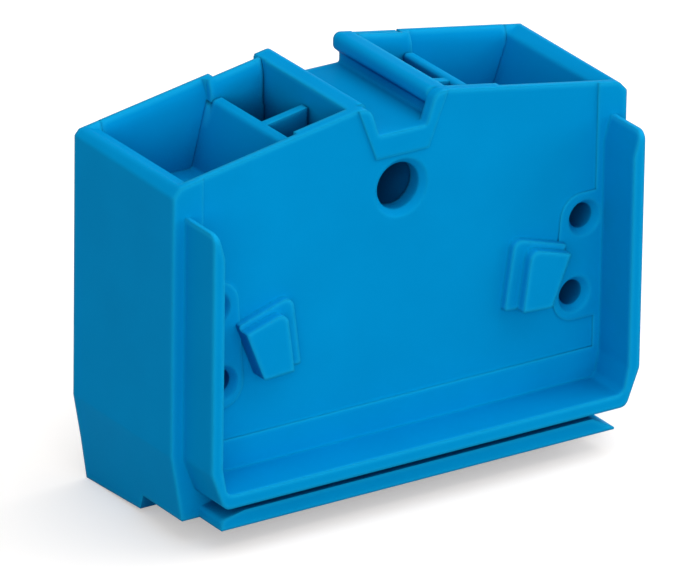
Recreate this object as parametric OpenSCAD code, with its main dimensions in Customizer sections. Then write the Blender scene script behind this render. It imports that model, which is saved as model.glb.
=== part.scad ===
// Four-conductor spring clamp terminal block that snaps onto its neighbour.
// A moulded housing open at the back, a cover that closes it, a folded current bar
// and four cage clamp springs. Depth is counted from the front border to the back.

/* [Body] */
// Overall length of the housing
body_l = 28; // [27:0.5:34]
// Depth from the front border to the back face
body_d = 9.5; // [9.25:0.25:12]
// Height of the end walls up to their top chamfer
end_h = 19.4; // [19:0.1:21]
// Sideways run of the chamfer on top of the end walls
end_chamfer = 0.45; // [0.2:0.05:0.6]
// Height of that chamfer
end_chamfer_h = 0.5; // [0.2:0.05:0.7]
// Rise of the roof from the end walls to the middle
roof_rise = 2.35; // [2:0.05:3]
// Height of the underside between the feet
belly_z = 1.22; // [0.8:0.02:1.4]
// Height at which the ends start to taper towards the feet
taper_h = 4.95; // [4:0.05:6]
// How far the ends have tapered in at the feet
taper_in = 0.9; // [0.3:0.05:1.1]
// Rounding where the taper starts
taper_r = 0.8; // [0.4:0.1:1.2]
// Distance of the feet from the front border
foot_y = 4.65; // [4:0.05:5.5]
// Thickness of each foot at the ground
foot_t = 1.1; // [0.9:0.05:1.3]
// How far the feet stand proud of the tapered ends at the ground
foot_proud = 0.06; // [0.04:0.01:0.15]
// Height at which the feet run into the tapered ends
foot_rise = 3.6; // [2.6:0.1:3.9]
// Rounding of the outer edges
edge_r = 0.2; // [0.1:0.05:0.4]

/* [Front face] */
// Depth of the recessed panel
recess_d = 0.1; // [0.06:0.02:0.3]
// Width of the border beside the panel
border_w = 1.8; // [1.4:0.1:2.2]
// Height of the panel's lower edge
panel_z = 5.2; // [4.6:0.1:5.6]
// Thickness of the front wall
front_wall = 1.2; // [0.8:0.05:1.4]
// Width of the raised band beside the mouth of the roof notch
band_w = 0.75; // [0.4:0.05:1]
// Depth of the raised band below the notch floor
band_h = 1.3; // [0.8:0.1:1.6]
// How far the band's foot is wider than the notch floor, each side
band_foot = 0.15; // [0:0.05:0.4]
// Reach of the raised pads round the peg holes towards the middle
pad_reach = 1.42; // [1.3:0.02:1.6]
// Reach of the raised pads above and below the peg holes
pad_over = 1.45; // [1.3:0.05:1.6]
// Rounding of the raised pads
pad_r = 1.3; // [0.8:0.1:1.4]

/* [Roof notch] */
// Half width of the notch at its floor
notch_x = 1.47; // [1.2:0.05:1.7]
// Half width of the notch at its mouth
notch_top_x = 2.05; // [1.9:0.05:2.3]
// Depth of the notch below the roof
notch_d = 1.75; // [1.4:0.05:2]
// Thickness of the front wall at the notch
notch_wall = 0.7; // [0.5:0.05:0.9]
// Rounding of the notch's mouth
mouth_r = 0.7; // [0.3:0.1:0.9]
// Rounding of the notch floor's corners
floor_r = 0.15; // [0.05:0.05:0.3]
// Half width between the rails that hold a marker tag
rail_x = 1.88; // [1.75:0.02:2]
// Height of the rails' underside above the notch floor
rail_z = 0.9; // [0.8:0.05:1.1]
// Rounding that makes the rails nearly half round
rail_r = 0.44; // [0.2:0.02:0.5]
// Depth of the undercut below the rails
undercut = 0.4; // [0.2:0.05:0.5]
// Height of the undercut above the notch floor
undercut_h = 0.55; // [0.4:0.05:0.7]
// Thickness of the roof web below the notch
web_t = 0.95; // [0.7:0.05:1.2]

/* [Wire funnels and tool slots] */
// Half distance from the middle to the tool slots
slot_x = 3.05; // [2.95:0.05:3.3]
// Width of the tool slots
slot_w = 2.55; // [2.3:0.05:2.8]
// Wall between tool slot and wire funnel
divider_t = 0.65; // [0.5:0.05:0.8]
// Drop of the dividers below the roof
divider_drop = 0.97; // [0.6:0.05:1.2]
// Rounding of the dividers' tops
divider_r = 0.2; // [0.1:0.05:0.3]
// Outward run of a divider's face from its top to the funnel floor
divider_lean = 0.92; // [0.4:0.02:1]
// Thickness of the cross wall between two tool slots
cross_t = 0.55; // [0.4:0.05:0.8]
// Middle of the cross wall from the front
cross_y = 4.4; // [4:0.1:4.8]
// Drop of the cross wall below the dividers
cross_drop = 0.08; // [0.04:0.02:0.2]
// Slit between the cross wall and the web, and between the dividers and the cover
slit_w = 0.15; // [0.1:0.01:0.2]
// Thickness of the end wall at the funnel's rim
rim_t = 0.9; // [0.8:0.05:1.1]
// Width of the sloped edge inside the rim
rim_slope = 0.5; // [0.3:0.05:0.7]
// Height of the sloped edge inside the rim
rim_drop = 0.33; // [0.2:0.01:0.5]
// Rounding below the sloped edge
rim_r = 0.2; // [0.1:0.05:0.4]
// Thickness of the front wall beside the funnels
funnel_wall = 0.5; // [0.4:0.02:0.6]
// Thickness of the front wall beside the tool slots
slot_wall = 0.8; // [0.7:0.02:1]
// Depth of the funnel floor below the end wall's top
funnel_d = 3; // [2.6:0.1:3.4]
// Inward run of the funnel's end wall from its rim to the floor
funnel_lean = 1.14; // [0.6:0.02:1.3]
// Rounding of the funnel's corners
funnel_r = 0.25; // [0.1:0.05:0.4]
// Radius of the wire entries in the funnel floor
entry_r = 1.4; // [1.1:0.05:1.5]
// Chamfer of the wire entries
entry_chamfer = 0.3; // [0.1:0.05:0.4]
// Length of the wire entries
entry_l = 1.9; // [1.6:0.1:2.2]
// How far the wire entries reach over the clamping tabs
entry_over = 0.4; // [0.2:0.05:0.5]

/* [Skirt and lip] */
// Reach of the skirt in front of the border
skirt_reach = 2.77; // [2.2:0.05:3]
// Distance of the skirt from the end faces
skirt_in = 0.7; // [0.6:0.05:0.9]
// Thickness of the skirt's sides
skirt_t = 0.67; // [0.5:0.01:0.8]
// Thickness of the skirt's lower run
skirt_floor_t = 0.73; // [0.5:0.01:0.9]
// Height of the skirt's underside
skirt_z = 2.72; // [2.6:0.02:3]
// Distance of the skirt's upper ends below the end wall's top
skirt_drop = 1.2; // [1:0.1:1.8]
// Length of the sloped inner side at the skirt's upper ends
skirt_lead = 1.4; // [0.8:0.1:2]
// Width of that slope
skirt_lead_w = 0.4; // [0.2:0.05:0.5]
// How far the skirt's outside has tapered in at the bottom
skirt_taper = 0.8; // [0.4:0.05:1]
// How far the skirt's inside has tapered in at the bottom
skirt_taper_in = 0.3; // [0.1:0.05:0.5]
// Distance of the outside's bend below that of the inside
skirt_bend = 0.15; // [0:0.05:0.4]
// Rounding of the skirt's lower corners
skirt_r = 0.5; // [0.3:0.05:0.7]
// Rounding of the skirt's bends
skirt_bend_r = 0.8; // [0.5:0.1:1]
// Distance of the lip's ends from the end faces
lip_in = 1.75; // [1.6:0.05:2]
// Reach of the lip in front of the border
lip_reach = 2.1; // [1.6:0.1:2.4]
// Thickness of the lip
lip_t = 0.9; // [0.7:0.05:1]
// Thickness of the lip at its left end
lip_end_t = 0.6; // [0.4:0.05:0.65]
// Thickness of the lip at its right end, which runs out nearly to an edge
lip_tip_t = 0.12; // [0.08:0.02:0.4]
// Length of the slopes towards the lip's ends
lip_run = 1.4; // [1:0.1:2]
// Rounding of the lip's upper corners
lip_r = 0.25; // [0.1:0.05:0.4]

/* [Holes and pegs] */
// Distance of the middle hole below the notch floor
hole_drop = 3.22; // [3:0.01:3.5]
// Radius of the middle hole
hole_r = 1.3; // [1.1:0.01:1.4]
// Chamfer of the middle hole
hole_chamfer = 0.32; // [0.1:0.02:0.4]
// How much wider the middle hole is behind the front wall
hole_relief = 0.3; // [0.1:0.05:0.4]
// Wall left round the pocket that cores out the middle
core_wall = 1; // [0.8:0.1:1.4]
// Rounding of that pocket
core_r = 0.5; // [0.2:0.1:0.8]
// Distance of the upper peg holes from the end faces
socket_in = 2.5; // [2.4:0.05:2.7]
// Inward offset of the lower peg holes against the upper ones
socket_lean = 0.54; // [0.3:0.02:0.6]
// Height of the upper peg holes
socket_upper_z = 12.7; // [12.2:0.1:13]
// Height of the lower peg holes
socket_lower_z = 8.44; // [8.2:0.02:8.8]
// Radius of the peg holes
socket_r = 0.7; // [0.5:0.05:0.75]
// Depth of the peg holes
socket_d = 4; // [2:0.1:5]
// Radius of the countersinks
sink_r = 1; // [0.8:0.05:1.1]
// Depth of the countersinks
sink_d = 0.4; // [0.2:0.05:0.5]
// Length of the pegs on the back cover
peg_l = 1.2; // [0.8:0.1:1.5]
// Radial play of a peg in its hole
peg_play = 0.05; // [0.02:0.01:0.1]

/* [Hooks] */
// Height of the hook plates above the panel
hook_plate = 0.45; // [0.3:0.05:0.6]
// Height of the hook wedges above the plates
hook_wedge = 0.6; // [0.4:0.05:0.8]
// Distance of a hook's outer lower corner from the end face
hook_in = 5.05; // [4.8:0.05:5.4]
// Height of that corner
hook_z = 8.5; // [8.3:0.05:8.8]
// Width of a hook at its lower edge
hook_foot_w = 2.6; // [2.2:0.1:2.8]
// Rise of the lower edge towards the middle
hook_foot_rise = 0.15; // [0:0.05:0.3]
// Height of a hook's outer side
hook_h = 3.1; // [2.8:0.1:3.3]
// Outward lean of the outer side
hook_lean = 1.25; // [0.8:0.05:1.4]
// Width of a hook at its upper edge
hook_top_w = 3.3; // [3:0.1:3.5]
// Rise of the upper edge towards the middle
hook_top_rise = 1; // [0.6:0.1:1.2]
// Width of the plate left free above the wedge
hook_ledge = 0.54; // [0.3:0.02:0.8]
// Width of the plate left free beside the wedge
hook_rail = 0.9; // [0.5:0.05:1.1]
// Rounding of a hook's inner upper corner
hook_r = 0.5; // [0.3:0.05:0.7]
// Rounding of a hook's other corners
hook_edge_r = 0.12; // [0.06:0.02:0.2]

/* [Metal parts] */
// Thickness of the current bar
bar_t = 0.8; // [0.6:0.05:1]
// Height of the chamber floor that carries the bar
bar_z = 7.6; // [7.2:0.1:8]
// Play above the bar in its channel
bar_play = 0.04; // [0.02:0.01:0.08]
// Distance of the tabs from the dividers
tab_off = 1.05; // [0.9:0.05:1.2]
// Distance of the tabs' tops below the chamber's ceiling
tab_gap = 1.3; // [1:0.1:1.6]
// Inner radius of the bar's bends
bar_bend = 0.5; // [0.3:0.05:0.7]
// Gap beside each clamp
clamp_gap = 0.3; // [0.2:0.02:0.4]
// Thickness of the spring strip
spring_t = 0.36; // [0.25:0.01:0.45]
// Gap between a spring and the chamber's inner wall and ceiling
spring_gap = 0.2; // [0.1:0.05:0.3]
// Bend of a spring's loop
loop_r = 1.6; // [1.2:0.1:1.8]
// Width of the side rails beside a spring's window
strip_w = 0.35; // [0.3:0.01:0.45]
// Play of a tab in the spring's window
window_play = 0.05; // [0.03:0.01:0.1]
// Distance of a window from the spring's front leg
window_in = 1.2; // [1:0.1:1.4]
// Width of the bridge that closes a spring's window
bridge_w = 0.6; // [0.5:0.05:0.8]
// Height of the springs' clamping legs above the chamber floor
leg_lift = 2; // [1.8:0.05:2.3]
// Distance of a spring's back leg above its clamping leg
leg_l = 1.3; // [1:0.1:1.6]
// Bend of a spring's clamping leg
leg_r = 0.9; // [0.6:0.1:1.1]
// Depth of the room for the wire ends below the chamber floor
wire_d = 2.2; // [1.6:0.1:2.4]
// Play between that room's edge and the tabs
wire_play = 0.1; // [0.05:0.05:0.2]
// Wall between the peg holes and the chamber
chamber_wall = 0.35; // [0.3:0.05:0.5]

/* [Back cover] */
// Thickness of the cover
cover_t = 0.5; // [0.4:0.05:0.6]
// How far the cover's middle lies in front of its sides
cover_jog = 0.45; // [0.3:0.05:0.5]
// Width of the step between the cover's middle and its sides
cover_step = 0.4; // [0.3:0.05:0.5]
// Height of the cover's lower edge
cover_z = 4.6; // [4.4:0.05:5]
// Width of the lead-in along the cover's upper edge
cover_lead = 0.3; // [0.15:0.05:0.35]
// Width of the lead-in at half its height
cover_bend = 0.08; // [0.04:0.01:0.12]
// Height of the lead-in
cover_lead_h = 0.9; // [0.5:0.05:1.1]
// Rounding of the lead-in
cover_r = 1.4; // [0.5:0.1:1.5]
// Floor thickness of the pockets for the next block's hooks
pocket_t = 0.5; // [0.4:0.05:0.6]
// Wall thickness round those pockets
pocket_w = 0.7; // [0.5:0.05:0.8]
// Width of the nib over the cover in the left tool slot
nib_w = 0.45; // [0.3:0.05:0.6]
// Gap between the nib in the right tool slot and the step in the cover
nib_gap = 0.1; // [0.06:0.02:1.5]
// Drop of the nibs below the roof
nib_drop = 0.05; // [0.04:0.01:0.3]
// Play between the cover and the housing
cover_play = 0.04; // [0.02:0.01:0.08]
// Play between the skirt, lip or hooks and the next block
stack_play = 0.13; // [0.1:0.01:0.18]

/* [Hidden] */

plastic_blue = [0, 0.53, 0.80];
tinned_copper = [0.80, 0.78, 0.74];
spring_steel = [0.72, 0.73, 0.75];

arc_steps = 6;
round_fn = 48;
past = 1;
skim = 0.02;
half_l = body_l / 2;
front_y = (skirt_reach - body_d - peg_l) / 2;
foot_in = taper_x(0) - foot_t;

// Roof
eave_x = half_l - end_chamfer;
eave_z = end_h + end_chamfer_h;
above = roof(0) + past;
notch_z = roof(notch_top_x) - notch_d;
web_z = notch_z - web_t;
undercut_x = rail_x + undercut;
band_z = notch_z - band_h;

// Tool slots, dividers and funnels
slot_end = slot_x + slot_w;
divider_x = slot_end + divider_t;
divider_z = roof(divider_x) - divider_drop;
funnel_z = end_h - funnel_d;
ceiling_z = funnel_z - entry_l;
divider_foot = divider_x + divider_lean;
rim_x = half_l - rim_t;
rim_z = roof(rim_x);
funnel_end = rim_x - rim_slope - funnel_lean;

// Skirt and lip
skirt_top = end_h - skirt_drop;
lip_x = half_l - lip_in;
lip_room_x = lip_x + stack_play;
lip_room_z = belly_z + lip_t + stack_play;

// Peg holes and middle hole
hole_z = notch_z - hole_drop;
socket_x = half_l - socket_in;
sockets = [[socket_x, socket_upper_z], [socket_x - socket_lean, socket_lower_z]];

// Hook outline, anticlockwise from the outer lower corner, and the corners of its wedge
plate_y = recess_d - hook_plate;
wedge_y = plate_y - hook_wedge;
hook_foot = [half_l - hook_in, hook_z];
hook_inner_foot = hook_foot + [-hook_foot_w, hook_foot_rise];
hook_top = hook_foot + [hook_lean, hook_h];
hook_inner_top = hook_top + [-hook_top_w, hook_top_rise];
hook_line = [
    [hook_foot[0], hook_foot[1], hook_edge_r],
    [hook_top[0], hook_top[1], hook_edge_r],
    [hook_inner_top[0], hook_inner_top[1], hook_r],
    [hook_inner_foot[0], hook_inner_foot[1], hook_edge_r]];
wedge_corner = hook_inner_top + hook_ledge * unit(hook_foot - hook_top)
    + hook_rail * unit(hook_foot - hook_inner_foot);
wedge_out = wedge_corner + (hook_top_w + past) * unit(hook_top - hook_inner_top);
wedge_down = wedge_corner + (hook_h + hook_top_rise + past) * unit(hook_inner_foot - hook_inner_top);
wedge_far = wedge_down + wedge_out - wedge_corner;

// Cover
side_y = body_d - cover_t;
mid_y = side_y - cover_jog;
slot_back = mid_y - slit_w;
step_x = divider_x - cover_step;
cover_x = half_l - skirt_in - skirt_t - stack_play;
pocket_d = stack_play - wedge_y;
pocket_y = body_d - pocket_d - pocket_t;
nib_root = (undercut_x + slot_x) / 2;
nib_long_w = step_x - nib_gap - slot_x;

// Clamps
tab_x = divider_x + tab_off;
tab_out = tab_x + bar_t / 2;
tab_in = tab_x - bar_t / 2;
tab_z = ceiling_z - tab_gap;
clamp_w = (pocket_y - front_wall - 3 * clamp_gap) / 2;
tab_w = clamp_w - 2 * (strip_w + window_play);
clamp_ys = [for (i = [0, 1]) front_wall + (i + 1) * clamp_gap + (i + 0.5) * clamp_w];
leg_z = bar_z + leg_lift;
entry_x = tab_out + entry_r - entry_over;

function roof(x) = eave_z + roof_rise * (eave_x - x) / eave_x;
function taper_x(z) = half_l - taper_in * (1 - z / taper_h);
function band_x(z) = notch_x + band_foot
    + (notch_top_x + band_w - notch_x - band_foot) * (z - band_z) / (roof(notch_top_x) - band_z);
function flat(p) = [p[0], p[1]];
function unit(v) = v / norm(v);
function left_of(v) = [-v[1], v[0]];
function mirrored(p) = concat(p, [for (i = [len(p) - 1 : -1 : 0]) [-p[i][0], p[i][1], p[i][2]]]);
function reversed(p) = [for (i = [len(p) - 1 : -1 : 0]) p[i]];

// Arc at corner b, whose third number is its radius, limited by the sides' lengths
function corner(a, b, c) =
    b[2] <= 0 ? [flat(b)] :
    let (u = unit(flat(a) - flat(b)))
    let (v = unit(flat(c) - flat(b)))
    let (half = acos(u * v) / 2)
    let (room = 0.48 * min(norm(flat(a) - flat(b)), norm(flat(c) - flat(b))))
    let (run = min(b[2] / tan(half), room))
    let (centre = flat(b) + unit(u + v) * run / cos(half))
    let (from = flat(b) + u * run - centre)
    let (to = flat(b) + v * run - centre)
    let (turn = 180 - 2 * half)
    [for (i = [0 : arc_steps])
        centre + (from * sin(turn * (1 - i / arc_steps)) + to * sin(turn * i / arc_steps)) / sin(turn)];

// Closed outline with rounded corners
function rounded(p) =
    let (n = len(p))
    [for (i = [0 : n - 1]) each corner(p[(i + n - 1) % n], p[i], p[(i + 1) % n])];

// Open path with rounded corners
function bent(p) =
    let (last = len(p) - 1)
    [flat(p[0]), for (i = [1 : last - 1]) each corner(p[i - 1], p[i], p[i + 1]), flat(p[last])];

// Corner moved sideways by d, so that both sides stay parallel to where they were
function shifted(a, b, c, d) =
    let (u = unit(flat(b) - flat(a)))
    let (v = unit(flat(c) - flat(b)))
    let (turn = sign(u[0] * v[1] - u[1] * v[0]))
    let (at = flat(b) + d * (left_of(u) + left_of(v)) / (1 + u * v))
    [at[0], at[1], max(0, b[2] - turn * d)];

// Closed outline, drawn anticlockwise, grown outwards by d
function grown(p, d) =
    let (n = len(p))
    [for (i = [0 : n - 1]) shifted(p[(i + n - 1) % n], p[i], p[(i + 1) % n], -d)];

// Open path moved to its left by d
function beside(p, d) =
    let (last = len(p) - 1)
    let (first_dir = unit(flat(p[1]) - flat(p[0])))
    let (last_dir = unit(flat(p[last]) - flat(p[last - 1])))
    [flat(p[0]) + d * left_of(first_dir),
        for (i = [1 : last - 1]) shifted(p[i - 1], p[i], p[i + 1], d),
        flat(p[last]) + d * left_of(last_dir)];

module along_x(x0, x1) {
    translate([x0, 0, 0]) rotate([90, 0, 90]) linear_extrude(height = x1 - x0) children();
}
module along_y(y0, y1) {
    translate([0, y1, 0]) rotate([90, 0, 0]) linear_extrude(height = y1 - y0) children();
}
module left() { mirror([1, 0, 0]) children(); }
module both_sides() { children(); left() children(); }
module place() { translate([0, front_y, 0]) children(); }

// Sheet metal of thickness t, bent along a path
module strip(path, t) {
    polygon(concat(bent(beside(path, t / 2)), reversed(bent(beside(path, -t / 2)))));
}

// Round hole into the front, with its mouth at depth y
module front_hole(x, y, z, r, mouth_r, mouth_d, depth) {
    spread = (mouth_r - r) / mouth_d;
    translate([x, y, z]) rotate([-90, 0, 0]) rotate_extrude($fn = round_fn)
        polygon([[0, -skim], [mouth_r + skim * spread, -skim], [r, mouth_d], [r, depth], [0, depth]]);
}

end_line = [
    [taper_x(belly_z), belly_z, 0],
    [half_l, taper_h, taper_r],
    [half_l, end_h, edge_r],
    [eave_x, eave_z, edge_r]];

// The block, with the plain notch in its front wall and the tag channel behind it
module block() {
    along_y(0, notch_wall) polygon(rounded(mirrored(concat(end_line, [
        [notch_top_x, roof(notch_top_x), mouth_r],
        [notch_x, notch_z, floor_r]]))));
    along_y(notch_wall, body_d) polygon(rounded(mirrored(concat(end_line, [
        [rail_x, roof(rail_x), rail_r],
        [rail_x, notch_z + rail_z, rail_r],
        [undercut_x, notch_z + undercut_h, floor_r],
        [undercut_x, notch_z, floor_r]]))));
}

// Foot whose outer face runs out into the tapered end
module foot() {
    along_y(foot_y, body_d) polygon([[foot_in, 0], [taper_x(0) + foot_proud, 0],
        [taper_x(foot_rise) - foot_proud / 2, foot_rise], [foot_in, foot_rise]]);
}

// Panel set back from the border; the notch band and the pads round the peg holes stay proud
module face_recess() {
    side_x = half_l - border_w;
    pad_top = socket_upper_z + pad_over;
    pad_foot = socket_lower_z - pad_over;
    along_y(-past, recess_d) difference() {
        polygon(rounded(mirrored([[side_x, panel_z, 0], [side_x, above, 0]])));
        polygon(rounded(mirrored([[band_x(band_z), band_z, 0], [band_x(above + past), above + past, 0]])));
        both_sides() polygon(rounded([
            [side_x + past, pad_foot, 0],
            [side_x + past, pad_top, 0],
            [sockets[0][0] - pad_reach, pad_top, pad_r],
            [sockets[1][0] - pad_reach, pad_foot, pad_r]]));
    }
}

// Section of the U-shaped skirt, thicker on every side by grow
module skirt_section(grow) {
    out_x = half_l - skirt_in + grow;
    in_x = out_x - skirt_t - 2 * grow;
    top = skirt_top + grow;
    difference() {
        polygon(rounded(mirrored([
            [out_x - skirt_taper, skirt_z - grow, skirt_r],
            [out_x, taper_h - skirt_bend, skirt_bend_r],
            [out_x, top, 0]])));
        polygon(rounded(mirrored([
            [in_x - skirt_taper_in, skirt_z + skirt_floor_t + grow, skirt_r],
            [in_x, taper_h, skirt_bend_r],
            [in_x, top - skirt_lead, 0],
            [in_x + skirt_lead_w * (1 + past / skirt_lead), top + past, 0]])));
    }
}

module skirt() {
    intersection() {
        along_y(-skirt_reach, recess_d) skirt_section(0);
        along_x(-half_l, half_l) polygon(rounded([
            [-skirt_reach, 0, 0],
            [body_d, 0, 0],
            [body_d, skirt_top, 0],
            [-skirt_reach, skirt_top, skirt_r]]));
    }
}

// Lip below the skirt, thinner towards its ends
module lip() {
    along_y(-lip_reach, recess_d) polygon(rounded([
        [lip_x, belly_z, 0],
        [lip_x, belly_z + lip_tip_t, 0],
        [lip_x - lip_run, belly_z + lip_t, lip_r],
        [lip_run - lip_x, belly_z + lip_t, lip_r],
        [-lip_x, belly_z + lip_end_t, lip_r],
        [-lip_x, belly_z, 0]]));
}

// Snap hook: a plate whose outer lower part is raised to a wedge
module hook() {
    difference() {
        along_y(wedge_y, recess_d + past) polygon(rounded(hook_line));
        along_y(wedge_y - past, plate_y) difference() {
            polygon(rounded(grown(hook_line, past)));
            polygon(rounded([
                [wedge_corner[0], wedge_corner[1], hook_r],
                [wedge_down[0], wedge_down[1], 0],
                [wedge_far[0], wedge_far[1], 0],
                [wedge_out[0], wedge_out[1], 0]]));
        }
    }
}

// Corners of the funnel from the divider's foot to the air above the rim
funnel_line = [
    [divider_foot, funnel_z, funnel_r],
    [funnel_end, funnel_z, funnel_r],
    [rim_x - rim_slope, rim_z - rim_drop, rim_r],
    [rim_x + rim_slope, rim_z + rim_drop, 0],
    [rim_x + rim_slope, above, 0]];

// Section of the funnel alone
module funnel_section() {
    polygon(rounded(concat(funnel_line, [[divider_x, above, 0], [divider_x, divider_z, 0]])));
}

// Section of funnel, divider and tool slot, whose slot goes down to foot_z
module opening_section(foot_z) {
    polygon(rounded(concat(funnel_line, [
        [slot_x, above, 0],
        [slot_x, foot_z, 0],
        [slot_end, foot_z, 0],
        [slot_end, roof(slot_end) - divider_drop, divider_r],
        [divider_x, divider_z, divider_r]])));
}

// Opening above one half of the roof; its back corner slopes on from the cover's upper edge
module roof_opening() {
    along_y(funnel_wall, slot_wall) funnel_section();
    along_y(slot_wall, front_wall) opening_section(ceiling_z);
    difference() {
        along_y(front_wall, side_y) opening_section(ceiling_z - past);
        cross_wall();
    }
    intersection() {
        along_y(side_y - past, body_d) funnel_section();
        cover_slope(side_y, cover_x, half_l);
    }
}

// Wall between the two tool slots, carried by the divider
module cross_wall() {
    near_x = slot_x + slit_w;
    far_x = slot_end + divider_t / 2;
    drop = divider_drop + cross_drop;
    along_y(cross_y - cross_t / 2, cross_y + cross_t / 2) polygon([
        [near_x, ceiling_z - 2 * past], [far_x, ceiling_z - 2 * past],
        [far_x, roof(far_x) - drop], [near_x, roof(near_x) - drop]]);
}

module wire_entries() {
    for (y = clamp_ys)
        translate([entry_x, y, ceiling_z - past]) rotate_extrude($fn = round_fn) polygon([
            [0, 0], [entry_r, 0], [entry_r, entry_l - entry_chamfer + past],
            [entry_r + entry_chamfer, entry_l + past], [0, entry_l + past]]);
}

// Room for two clamps, with a deeper pocket for the wire ends
module clamp_chamber() {
    wall_foot = sockets[1][0] - socket_r - chamber_wall;
    wall_top = sockets[0][0] - socket_r - chamber_wall;
    step = tab_out + wire_play;
    along_y(front_wall, body_d + past) polygon([
        [slot_x, bar_z], [step, bar_z], [step, bar_z - wire_d], [wall_foot, bar_z - wire_d],
        [wall_top, ceiling_z], [slot_x, ceiling_z]]);
}

module bar_channel() {
    along_y(front_wall, body_d + past)
        translate([-slot_x - past, bar_z]) square([2 * (slot_x + past), bar_t + bar_play]);
}

// Middle hole with its wider part behind the front wall, and the cored pocket below it
module middle() {
    core_y = recess_d + front_wall;
    tube_r = hole_r + hole_relief;
    core_x = slot_x - core_wall;
    front_hole(0, recess_d, hole_z, hole_r, hole_r + hole_chamfer, hole_chamfer, front_wall + past);
    translate([0, core_y, hole_z]) rotate([-90, 0, 0]) cylinder(r = tube_r, h = body_d, $fn = round_fn);
    along_y(core_y, body_d + past) polygon(rounded(mirrored([
        [core_x, bar_z + bar_t + 2 * core_wall, core_r],
        [core_x, hole_z - tube_r - core_wall, core_r]])));
}

// Outline of one side of the cover, up past the roof
module cover_side(grow) {
    polygon([[step_x - grow, cover_z - grow], [cover_x + grow, cover_z - grow],
        [cover_x + grow, above], [step_x - grow, above]]);
}

// Outline of the cover's middle, which leaves the housing's roof web free
module cover_middle(grow) {
    polygon(rounded(mirrored([[divider_x + grow, cover_z - grow, 0], [divider_x + grow, above, 0],
        [slot_x - grow, above, 0], [slot_x - grow, web_z + grow, 0]])));
}

// Seat of the cover in the back of the housing
module cover_seat() {
    both_sides() {
        along_y(side_y, body_d + past) cover_side(cover_play);
        along_y(pocket_y - cover_play, body_d + past)
            polygon(rounded(grown(hook_line, pocket_w + cover_play)));
    }
    along_y(slot_back, body_d + past) cover_middle(cover_play);
}

// Holds the cover's middle at the roof web
module nib(w) {
    along_y(mid_y + cover_t + cover_play, body_d) polygon([[nib_root, web_z], [slot_x + w, web_z],
        [slot_x + w, roof(slot_x + w) - nib_drop], [nib_root, roof(nib_root) - nib_drop]]);
}

module housing() {
    color(plastic_blue) place() {
        difference() {
            union() {
                difference() {
                    block();
                    face_recess();
                }
                both_sides() {
                    foot();
                    hook();
                }
                skirt();
                lip();
            }
            middle();
            both_sides() {
                for (s = sockets) front_hole(s[0], 0, s[1], socket_r, sink_r, sink_d, socket_d);
                roof_opening();
                wire_entries();
                clamp_chamber();
            }
            bar_channel();
            cover_seat();
            along_y(body_d - skirt_reach - stack_play, body_d + past) skirt_section(stack_play);
            along_y(body_d - lip_reach - stack_play, body_d + past)
                translate([-lip_room_x, -past]) square([2 * lip_room_x, lip_room_z + past]);
        }
        nib(nib_long_w);
        left() nib(nib_w);
    }
}

// Slope along the cover's upper inner edge, between two distances from the middle
module cover_slope(y, x0, x1) {
    pitch = atan(roof_rise / eave_x);
    translate([0, y, roof(0)]) rotate([0, pitch, 0]) along_x(x0 / cos(pitch), x1 / cos(pitch))
        polygon(rounded([
            [-past, -cover_lead_h, 0],
            [0, -cover_lead_h, 0],
            [cover_bend, -cover_lead_h / 2, cover_r],
            [cover_lead, skim, 0],
            [cover_lead, past, 0],
            [-past, past, 0]]));
}

// Everything above the roof
module sky() {
    along_y(0, body_d + past) polygon([[half_l, roof(half_l)], [half_l, above + past],
        [-half_l, above + past], [-half_l, roof(half_l)], [0, roof(0)]]);
}

module back_cover() {
    color(plastic_blue) place() difference() {
        union() {
            along_y(mid_y, mid_y + cover_t) cover_middle(0);
            both_sides() {
                along_y(side_y, body_d) cover_side(0);
                along_y(pocket_y, mid_y + cover_t) polygon(rounded(grown(hook_line, pocket_w)));
                for (s = sockets)
                    translate([s[0], side_y, s[1]]) rotate([-90, 0, 0])
                        cylinder(r = socket_r - peg_play, h = cover_t + peg_l, $fn = round_fn);
            }
        }
        both_sides() {
            along_y(body_d - pocket_d, body_d + past) polygon(rounded(grown(hook_line, stack_play)));
            cover_slope(side_y, divider_x + slit_w, cover_x + past);
            cover_slope(mid_y, slot_x - past, divider_x + past);
        }
        sky();
        translate([0, mid_y - past, hole_z]) rotate([-90, 0, 0])
            cylinder(r = hole_r, h = cover_t + 2 * past, $fn = round_fn);
    }
}

// Folded bar: a plate across the block with two upright tabs at each end
module current_bar() {
    first = clamp_ys[0] - tab_w / 2;
    last = clamp_ys[1] + tab_w / 2;
    mid_z = bar_z + bar_t / 2;
    color(tinned_copper) place() difference() {
        along_y(first, last) strip([
            [-tab_x, tab_z, 0], [-tab_x, mid_z, bar_bend + bar_t / 2],
            [tab_x, mid_z, bar_bend + bar_t / 2], [tab_x, tab_z, 0]], bar_t);
        both_sides() translate([tab_x - bar_t, first + tab_w, bar_z + bar_t + bar_bend])
            cube([2 * bar_t, last - first - 2 * tab_w, tab_z]);
    }
}

// Looped strip: back leg on the tab, loop below the tool slot, clamping leg whose window holds the tab
module clamp(y) {
    back_x = tab_in - spring_t / 2;
    front_x = slot_x + spring_gap + spring_t / 2;
    loop_z = ceiling_z - spring_gap - spring_t / 2;
    window_x = front_x + window_in;
    window_w = tab_w + 2 * window_play;
    difference() {
        along_y(y - clamp_w / 2, y + clamp_w / 2) strip([
            [back_x, leg_z + leg_l, 0], [back_x, loop_z, loop_r], [front_x, loop_z, loop_r],
            [front_x, leg_z, leg_r], [tab_out + bridge_w, leg_z, 0]], spring_t);
        translate([window_x, y - window_w / 2, leg_z - spring_t])
            cube([tab_out - window_x, window_w, 2 * spring_t]);
    }
}

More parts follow.
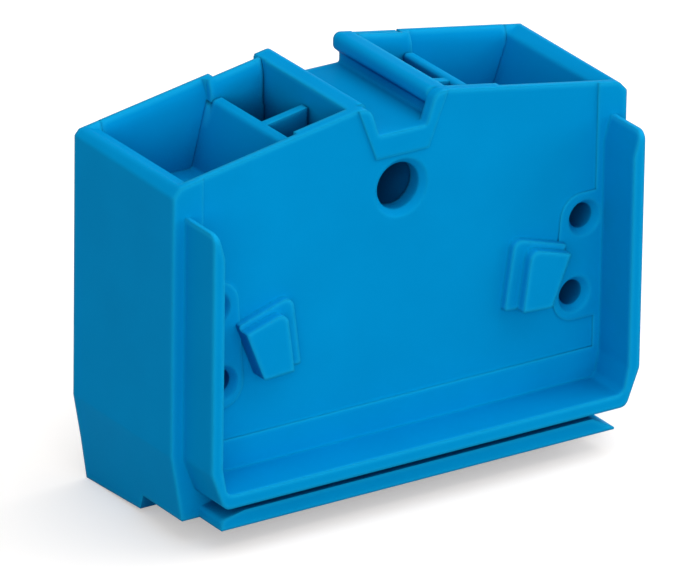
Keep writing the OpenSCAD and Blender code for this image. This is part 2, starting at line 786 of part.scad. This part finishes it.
module clamp_front_left() { color(spring_steel) place() left() clamp(clamp_ys[0]); }
module clamp_front_right() { color(spring_steel) place() clamp(clamp_ys[0]); }
module clamp_back_left() { color(spring_steel) place() left() clamp(clamp_ys[1]); }
module clamp_back_right() { color(spring_steel) place() clamp(clamp_ys[1]); }

housing();
back_cover();
current_bar();
clamp_front_left();
clamp_front_right();
clamp_back_left();
clamp_back_right();
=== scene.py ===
import math

import bmesh
import bpy
import numpy as np
from mathutils import Matrix, Vector


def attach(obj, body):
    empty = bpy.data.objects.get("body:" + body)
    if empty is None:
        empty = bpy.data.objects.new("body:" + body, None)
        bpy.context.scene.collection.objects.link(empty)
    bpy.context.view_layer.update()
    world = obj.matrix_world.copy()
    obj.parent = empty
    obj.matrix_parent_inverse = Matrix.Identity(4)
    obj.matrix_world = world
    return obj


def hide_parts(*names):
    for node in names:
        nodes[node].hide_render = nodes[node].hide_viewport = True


# Looks of a snap-together terminal block. Metres, same frame as the solids.
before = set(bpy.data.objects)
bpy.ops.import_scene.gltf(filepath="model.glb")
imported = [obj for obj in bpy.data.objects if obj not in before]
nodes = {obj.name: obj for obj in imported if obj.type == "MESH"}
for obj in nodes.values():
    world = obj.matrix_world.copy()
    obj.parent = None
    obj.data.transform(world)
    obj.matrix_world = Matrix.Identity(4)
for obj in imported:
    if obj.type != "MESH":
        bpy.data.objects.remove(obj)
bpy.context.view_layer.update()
mm = 0.001
white = (1.0, 1.0, 1.0, 1.0)


# unit vector away from the block: degrees from the front towards the right, degrees up
def lineOfSight(turn, tilt):
    turn, tilt = math.radians(turn), math.radians(tilt)
    return Vector((math.sin(turn) * math.cos(tilt), -math.cos(turn) * math.cos(tilt), math.sin(tilt)))


# camera on the photo's line of sight, long lens
cameraSetup = {
    "turn": -33.65,
    "tilt": 23.574,
    "roll": 0.8576,
    "lens": 592.6,
    "sensor": 36.0,
    "distance": 586.6 * mm,
    "lookAt": (0.0, 1.035 * mm, 11.0 * mm),
    "slide": (-0.284 * mm, -1.5755 * mm),   # of the aim, right and up in the picture
    "clip": (0.01, 10.0),                   # times the distance
}


def makeCamera(setup):
    back = lineOfSight(setup["turn"], setup["tilt"])
    turn, roll = math.radians(setup["turn"]), math.radians(setup["roll"])
    level = Vector((math.cos(turn), math.sin(turn), 0.0))
    right = (Matrix.Rotation(roll, 3, back) @ level).normalized()
    up = back.cross(right)
    data = bpy.data.cameras.new("photoCamera")
    data.sensor_width = setup["sensor"]
    data.lens = setup["lens"]
    data.clip_start, data.clip_end = (setup["distance"] * share for share in setup["clip"])
    camera = bpy.data.objects.new("photoCamera", data)
    bpy.context.scene.collection.objects.link(camera)
    slideX, slideY = setup["slide"]
    eye = Vector(setup["lookAt"]) + right * slideX + up * slideY + back * setup["distance"]
    turned = Matrix((right, up, back)).transposed().to_4x4()
    camera.matrix_world = Matrix.Translation(eye) @ turned
    bpy.context.scene.camera = camera


makeCamera(cameraSetup)
print("camera set")


def newMaterial(name):
    material = bpy.data.materials.new(name)
    material.use_nodes = True
    tree = material.node_tree
    tree.nodes.clear()
    output = tree.nodes.new("ShaderNodeOutputMaterial")
    shader = tree.nodes.new("ShaderNodeBsdfPrincipled")
    tree.links.new(shader.outputs["BSDF"], output.inputs["Surface"])
    return material, tree, shader


def addNode(tree, kind, **values):
    node = tree.nodes.new(kind)
    for name, value in values.items():
        node.inputs[name].default_value = value
    return node


def addRamp(tree, source, ends, colours):
    ramp = tree.nodes.new("ShaderNodeValToRGB")
    tree.links.new(source, ramp.inputs["Fac"])
    for stop, place, colour in zip(ramp.color_ramp.elements, ends, colours):
        stop.position, stop.color = place, colour
    return ramp.outputs["Color"]


# roughness between two ends, by the strength of a texture
def addGloss(tree, shader, source, ends):
    gloss = addNode(tree, "ShaderNodeMapRange", **{"To Min": ends[0], "To Max": ends[1]})
    tree.links.new(source, gloss.inputs["Value"])
    tree.links.new(gloss.outputs["Result"], shader.inputs["Roughness"])


# share of open space round a point, outside or inside the wall, mapped to 0 and 1
def openness(tree, reach, rays, inside, ends):
    look = addNode(tree, "ShaderNodeAmbientOcclusion", Distance=reach)
    look.inside = inside
    look.only_local = inside
    look.samples = rays
    scale = addNode(tree, "ShaderNodeMapRange", **{"From Min": ends[0], "From Max": ends[1]})
    tree.links.new(look.outputs["AO"], scale.inputs["Value"])
    return scale.outputs["Result"]


def mixColours(tree, share, under, over):
    mix = tree.nodes.new("ShaderNodeMix")
    mix.data_type = "RGBA"
    tree.links.new(share, mix.inputs[0])
    tree.links.new(under, mix.inputs[6])
    mix.inputs[7].default_value = over
    return mix.outputs[2]


# moulded blue plastic: even colour with a faint cloud, fine spark-eroded grain, rounded edges with a
# painted highlight along the outer ones, painted shade down the bores and tight slits
bluePlastic = {
    "name": "bluePlastic",
    "dark": (0.0, 0.237, 0.534, 1.0),
    "light": (0.0, 0.256, 0.571, 1.0),
    "cloud": 180.0,                         # waves per metre
    "cloudDetail": 3.0,
    "cloudEnds": (0.3, 0.7),
    "paintedHighlight": (0.004, 0.306, 0.605, 1.0),   # painted highlight: paler along the outer edges
    "highlightWidth": 0.35 * mm,
    "highlightEnds": (1.0, 0.5),                  # open share inside a flat wall, inside an edge
    "paintedShade": (0.0, 0.073, 0.235, 1.0),       # painted shade: darker down the bores and tight slits
    "shadeReach": 6.0 * mm,
    "shadeEnds": (0.42, 0.12),               # open share of the view where it starts, where it is full
    "grain": 9000.0,
    "grainDetail": 2.0,
    "grainDepth": 0.003 * mm,
    "grainStrength": 0.35,
    "gloss": (0.42, 0.52),
    "shine": 0.006,
    "shineTint": (0.0, 0.75, 1.0, 1.0),
    "edge": 0.30 * mm,                      # radius of the edges as a mould leaves them
    "edgeRays": 8,
}


def makeBluePlastic(setup):
    material, tree, shader = newMaterial(setup["name"])
    place = tree.nodes.new("ShaderNodeTexCoord").outputs["Object"]
    cloud = addNode(tree, "ShaderNodeTexNoise", Scale=setup["cloud"], Detail=setup["cloudDetail"])
    grain = addNode(tree, "ShaderNodeTexNoise", Scale=setup["grain"], Detail=setup["grainDetail"])
    for texture in (cloud, grain):
        tree.links.new(place, texture.inputs["Vector"])
    colour = addRamp(tree, cloud.outputs["Fac"], setup["cloudEnds"], (setup["dark"], setup["light"]))
    # painted highlight: a paler colour mixed in along the outer edges, where little open space lies
    # inside the wall
    highlightShare = openness(tree, setup["highlightWidth"], setup["edgeRays"], True, setup["highlightEnds"])
    highlighted = mixColours(tree, highlightShare, colour, setup["paintedHighlight"])
    # painted shade: a darker colour mixed in where little open space lies round a point, down the bores
    # and tight slits
    shadeShare = openness(tree, setup["shadeReach"], setup["edgeRays"], False, setup["shadeEnds"])
    shaded = mixColours(tree, shadeShare, highlighted, setup["paintedShade"])
    tree.links.new(shaded, shader.inputs["Base Color"])
    addGloss(tree, shader, grain.outputs["Fac"], setup["gloss"])
    edge = addNode(tree, "ShaderNodeBevel", Radius=setup["edge"])
    edge.samples = setup["edgeRays"]
    bump = addNode(tree, "ShaderNodeBump", Strength=setup["grainStrength"], Distance=setup["grainDepth"])
    tree.links.new(grain.outputs["Fac"], bump.inputs["Height"])
    tree.links.new(edge.outputs["Normal"], bump.inputs["Normal"])
    tree.links.new(bump.outputs["Normal"], shader.inputs["Normal"])
    shader.inputs["Specular IOR Level"].default_value = setup["shine"]
    shader.inputs["Specular Tint"].default_value = setup["shineTint"]
    return material


# strip metal: rolling lines along its length, slightly uneven gloss
tinnedCopper = {
    "name": "tinnedCopper",
    "dark": (0.52, 0.50, 0.46, 1.0),
    "light": (0.70, 0.68, 0.64, 1.0),
    "lines": (300.0, 9000.0, 300.0),        # waves per metre along x, y and z
    "lineDetail": 4.0,
    "lineEnds": (0.35, 0.65),
    "gloss": (0.22, 0.40),
}
springSteel = {
    "name": "springSteel",
    "dark": (0.45, 0.46, 0.48, 1.0),
    "light": (0.62, 0.63, 0.65, 1.0),
    "lines": (300.0, 12000.0, 300.0),
    "lineDetail": 4.0,
    "lineEnds": (0.35, 0.65),
    "gloss": (0.18, 0.32),
}


def makeStripMetal(setup):
    material, tree, shader = newMaterial(setup["name"])
    place = tree.nodes.new("ShaderNodeTexCoord").outputs["Object"]
    stretch = addNode(tree, "ShaderNodeMapping", Scale=setup["lines"])
    tree.links.new(place, stretch.inputs["Vector"])
    lines = addNode(tree, "ShaderNodeTexNoise", Scale=1.0, Detail=setup["lineDetail"])
    tree.links.new(stretch.outputs["Vector"], lines.inputs["Vector"])
    colour = addRamp(tree, lines.outputs["Fac"], setup["lineEnds"], (setup["dark"], setup["light"]))
    tree.links.new(colour, shader.inputs["Base Color"])
    addGloss(tree, shader, lines.outputs["Fac"], setup["gloss"])
    shader.inputs["Metallic"].default_value = 1.0
    return material


plasticMaterial = makeBluePlastic(bluePlastic)
barMaterial = makeStripMetal(tinnedCopper)
springMaterial = makeStripMetal(springSteel)
print("materials made")


# housing: the solid's own form, welded so that its curves shade smoothly, with its finer points
housingSetup = {
    "weld": 0.002 * mm,
    "sharp": 24.0,                          # degrees between faces past which an edge stays sharp
    "reach": 0.01 * mm,                     # how near a point lies to the place that is named
    # end walls: distance from the middle and height of the rim, from its foot to its crest
    "rimOut": (12.656 * mm, 13.1 * mm, 13.482 * mm),
    "rimHeight": (19.685 * mm, 19.978 * mm, 19.912 * mm),
    "thinOut": (12.656 * mm, 13.43 * mm, 13.482 * mm),
    "thinHeight": (19.685 * mm, 19.921 * mm, 19.912 * mm),
    # end chamfer: where end and roof would meet, out and up, and how far its back goes there
    "corner": (14.0 * mm, 19.822 * mm),
    "cornerReach": 0.55 * mm,
    "cornerBack": 5.5 * mm,
    "cornerShare": 0.40,
    # feet: their front face, and how far it moves forward and up at the ground and at the top
    "footFront": 0.685 * mm,
    "footIn": 11.9 * mm,
    "footTop": 1.22 * mm,
    "footGrow": (0.4 * mm, 0.9 * mm),
    "footLift": (0.25 * mm, 0.0),
    # left nib under the roof: box round its outer end, and where that end goes
    "nib": ((-3.6 * mm, 5.1 * mm, 19.1 * mm), (-3.4 * mm, 5.6 * mm, 21.7 * mm)),
    "nibEnd": -3.06 * mm,
}


# the rim is a profile of height over distance from the middle: each of its points slides
# to the same share of the thinner profile
def thinRims(spots, out, setup):
    level = np.interp(out, setup["rimOut"], setup["rimHeight"])
    rim = (out > setup["rimOut"][0]) & (out < setup["rimOut"][-1])
    rim &= np.abs(spots[:, 2] - level) < setup["reach"]
    thin = np.interp(out[rim], setup["rimOut"], setup["thinOut"])
    spots[rim, 0] = np.sign(spots[rim, 0]) * thin
    spots[rim, 2] = np.interp(thin, setup["thinOut"], setup["thinHeight"])


# the chamfer's back points go a share of the way to the corner that it cuts off
def narrowChamfers(spots, out, setup):
    away = np.array(setup["corner"]) - np.stack([out, spots[:, 2]], axis=1)
    back = (np.abs(away) < setup["cornerReach"]).all(axis=1) & (spots[:, 1] > setup["cornerBack"])
    spots[back, 0] += np.sign(spots[back, 0]) * setup["cornerShare"] * away[back, 0]
    spots[back, 2] += setup["cornerShare"] * away[back, 1]


# the feet's front face moves forward and up, in proportion to height between ground and top
def growFeet(spots, out, setup):
    toe = np.abs(spots[:, 1] - setup["footFront"]) < setup["reach"]
    toe &= out > setup["footIn"]
    toe &= spots[:, 2] < setup["footTop"] + setup["reach"]
    rise = (0.0, setup["footTop"])
    spots[toe, 1] -= np.interp(spots[toe, 2], rise, setup["footGrow"])
    spots[toe, 2] += np.interp(spots[toe, 2], rise, setup["footLift"])


# the points in the box at the nib's end go to one distance from the middle
def shortenNib(spots, setup):
    low, high = setup["nib"]
    nib = np.all((spots > low) & (spots < high), axis=1)
    spots[nib, 0] = setup["nibEnd"]


def trimHousing(spots, setup):
    out = np.abs(spots[:, 0])               # from the middle, before any point moves
    thinRims(spots, out, setup)
    narrowChamfers(spots, out, setup)
    growFeet(spots, out, setup)
    shortenNib(spots, setup)


# back cover: its end faces move out to the housing, so that no open hairline shows beside them
coverSetup = {
    "weld": 0.002 * mm,
    "sharp": 24.0,
    "endFrom": 12.4 * mm,
    "endOut": 0.036 * mm,
}


def trimCover(spots, setup):
    ends = np.abs(spots[:, 0]) > setup["endFrom"]
    spots[ends, 0] += np.sign(spots[ends, 0]) * setup["endOut"]


def makeMoulding(node, setup, trim):
    shape = bmesh.new()
    shape.from_mesh(nodes[node].data)
    bmesh.ops.remove_doubles(shape, verts=shape.verts, dist=setup["weld"])
    mesh = bpy.data.meshes.new(node + "Moulding")
    shape.to_mesh(mesh)
    shape.free()
    if "custom_normal" in mesh.attributes:
        mesh.attributes.remove(mesh.attributes["custom_normal"])
    spots = np.empty(len(mesh.vertices) * 3)
    mesh.vertices.foreach_get("co", spots)
    spots = spots.reshape(-1, 3)
    trim(spots, setup)
    mesh.vertices.foreach_set("co", spots.ravel())
    mesh.update()
    mesh.shade_smooth()
    mesh.set_sharp_from_angle(angle=math.radians(setup["sharp"]))
    mesh.materials.append(plasticMaterial)
    piece = bpy.data.objects.new(node + "Moulding", mesh)
    bpy.context.scene.collection.objects.link(piece)
    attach(piece, "root")
    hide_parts(node)
    print(node, "faces", len(mesh.polygons))


makeMoulding("housing", housingSetup, trimHousing)
makeMoulding("back_cover", coverSetup, trimCover)


def dress(node, material):
    mesh = nodes[node].data
    mesh.materials.clear()
    mesh.materials.append(material)


dress("current_bar", barMaterial)
for end in ("left", "right"):
    for row in ("front", "back"):
        dress("clamp_" + row + "_" + end, springMaterial)
print("metal dressed")


# white studio: pale floor that keeps the shadow, faint sky, three broad lamps
studio = {
    "floorSize": 3.0,
    "floorSeen": (0.740, 0.709, 0.680, 1.0),
    "floorRough": 0.9,
    "floorGlow": 0.352,     # lit table, white away from the shadow
    "floorBounce": (0.35, 0.35, 0.35, 1.0),
    "sky": 0.45,
    "skySeen": 1.0,
    "lampSpread": 60.0,
    "lamps": {              # degrees from the front towards the right, degrees up, strength
        "keyLamp": (-30.0, 8.0, 2.30),
        "fillLamp": (80.0, 8.0, 2.6),
        "topLamp": (56.0, 75.0, 1.55),
    },
}


# 1 for what the camera sees, also in a reflection or through glass, else 0
def seenDirectly(tree):
    path = tree.nodes.new("ShaderNodeLightPath")
    total = path.outputs["Is Camera Ray"]
    for kind in ("Is Glossy Ray", "Is Transmission Ray"):
        both = tree.nodes.new("ShaderNodeMath")
        both.operation = "MAXIMUM"
        tree.links.new(total, both.inputs[0])
        tree.links.new(path.outputs[kind], both.inputs[1])
        total = both.outputs["Value"]
    return total


# shader for the light that falls on the block, and another for what is seen
def mixSeen(tree, light, seen, output):
    mix = tree.nodes.new("ShaderNodeMixShader")
    tree.links.new(seenDirectly(tree), mix.inputs["Fac"])
    tree.links.new(light, mix.inputs[1])
    tree.links.new(seen, mix.inputs[2])
    tree.links.new(mix.outputs["Shader"], output.inputs["Surface"])


def makeFloor(setup):
    half = setup["floorSize"] / 2
    side = np.linspace(-half, half, 2)
    x, y = np.meshgrid(side, side)          # flat grid at floor level
    verts = np.stack([x.ravel(), y.ravel(), np.zeros(x.size)], axis=1)
    mesh = bpy.data.meshes.new("floor")
    mesh.from_pydata(verts.tolist(), [], [(0, 1, 3, 2)])
    floor = bpy.data.objects.new("floor", mesh)
    bpy.context.scene.collection.objects.link(floor)
    material, tree, shader = newMaterial("paleFloor")
    shader.inputs["Base Color"].default_value = setup["floorSeen"]
    shader.inputs["Roughness"].default_value = setup["floorRough"]
    shader.inputs["Specular IOR Level"].default_value = 0.0
    shader.inputs["Emission Color"].default_value = white
    shader.inputs["Emission Strength"].default_value = setup["floorGlow"]
    bounce = addNode(tree, "ShaderNodeBsdfDiffuse", Color=setup["floorBounce"])
    mixSeen(tree, bounce.outputs["BSDF"], shader.outputs["BSDF"], tree.nodes["Material Output"])
    mesh.materials.append(material)


def makeSky(setup):
    world = bpy.data.worlds.new("studioSky")
    bpy.context.scene.world = world
    world.use_nodes = True
    tree = world.node_tree
    tree.nodes.clear()
    output = tree.nodes.new("ShaderNodeOutputWorld")
    light = addNode(tree, "ShaderNodeBackground", Color=white, Strength=setup["sky"])
    seen = addNode(tree, "ShaderNodeBackground", Color=white, Strength=setup["skySeen"])
    mixSeen(tree, light.outputs["Background"], seen.outputs["Background"], output)


def makeLamp(name, turn, tilt, power, spread):
    data = bpy.data.lights.new(name, "SUN")
    data.energy = power
    data.angle = math.radians(spread)
    lamp = bpy.data.objects.new(name, data)
    bpy.context.scene.collection.objects.link(lamp)
    lamp.rotation_mode = "QUATERNION"
    lamp.rotation_quaternion = lineOfSight(turn, tilt).to_track_quat("Z", "Y")


makeFloor(studio)
makeSky(studio)
for name, (turn, tilt, power) in studio["lamps"].items():
    makeLamp(name, turn, tilt, power, studio["lampSpread"])
bpy.context.scene.view_settings.view_transform = "Standard"
print("studio lit")
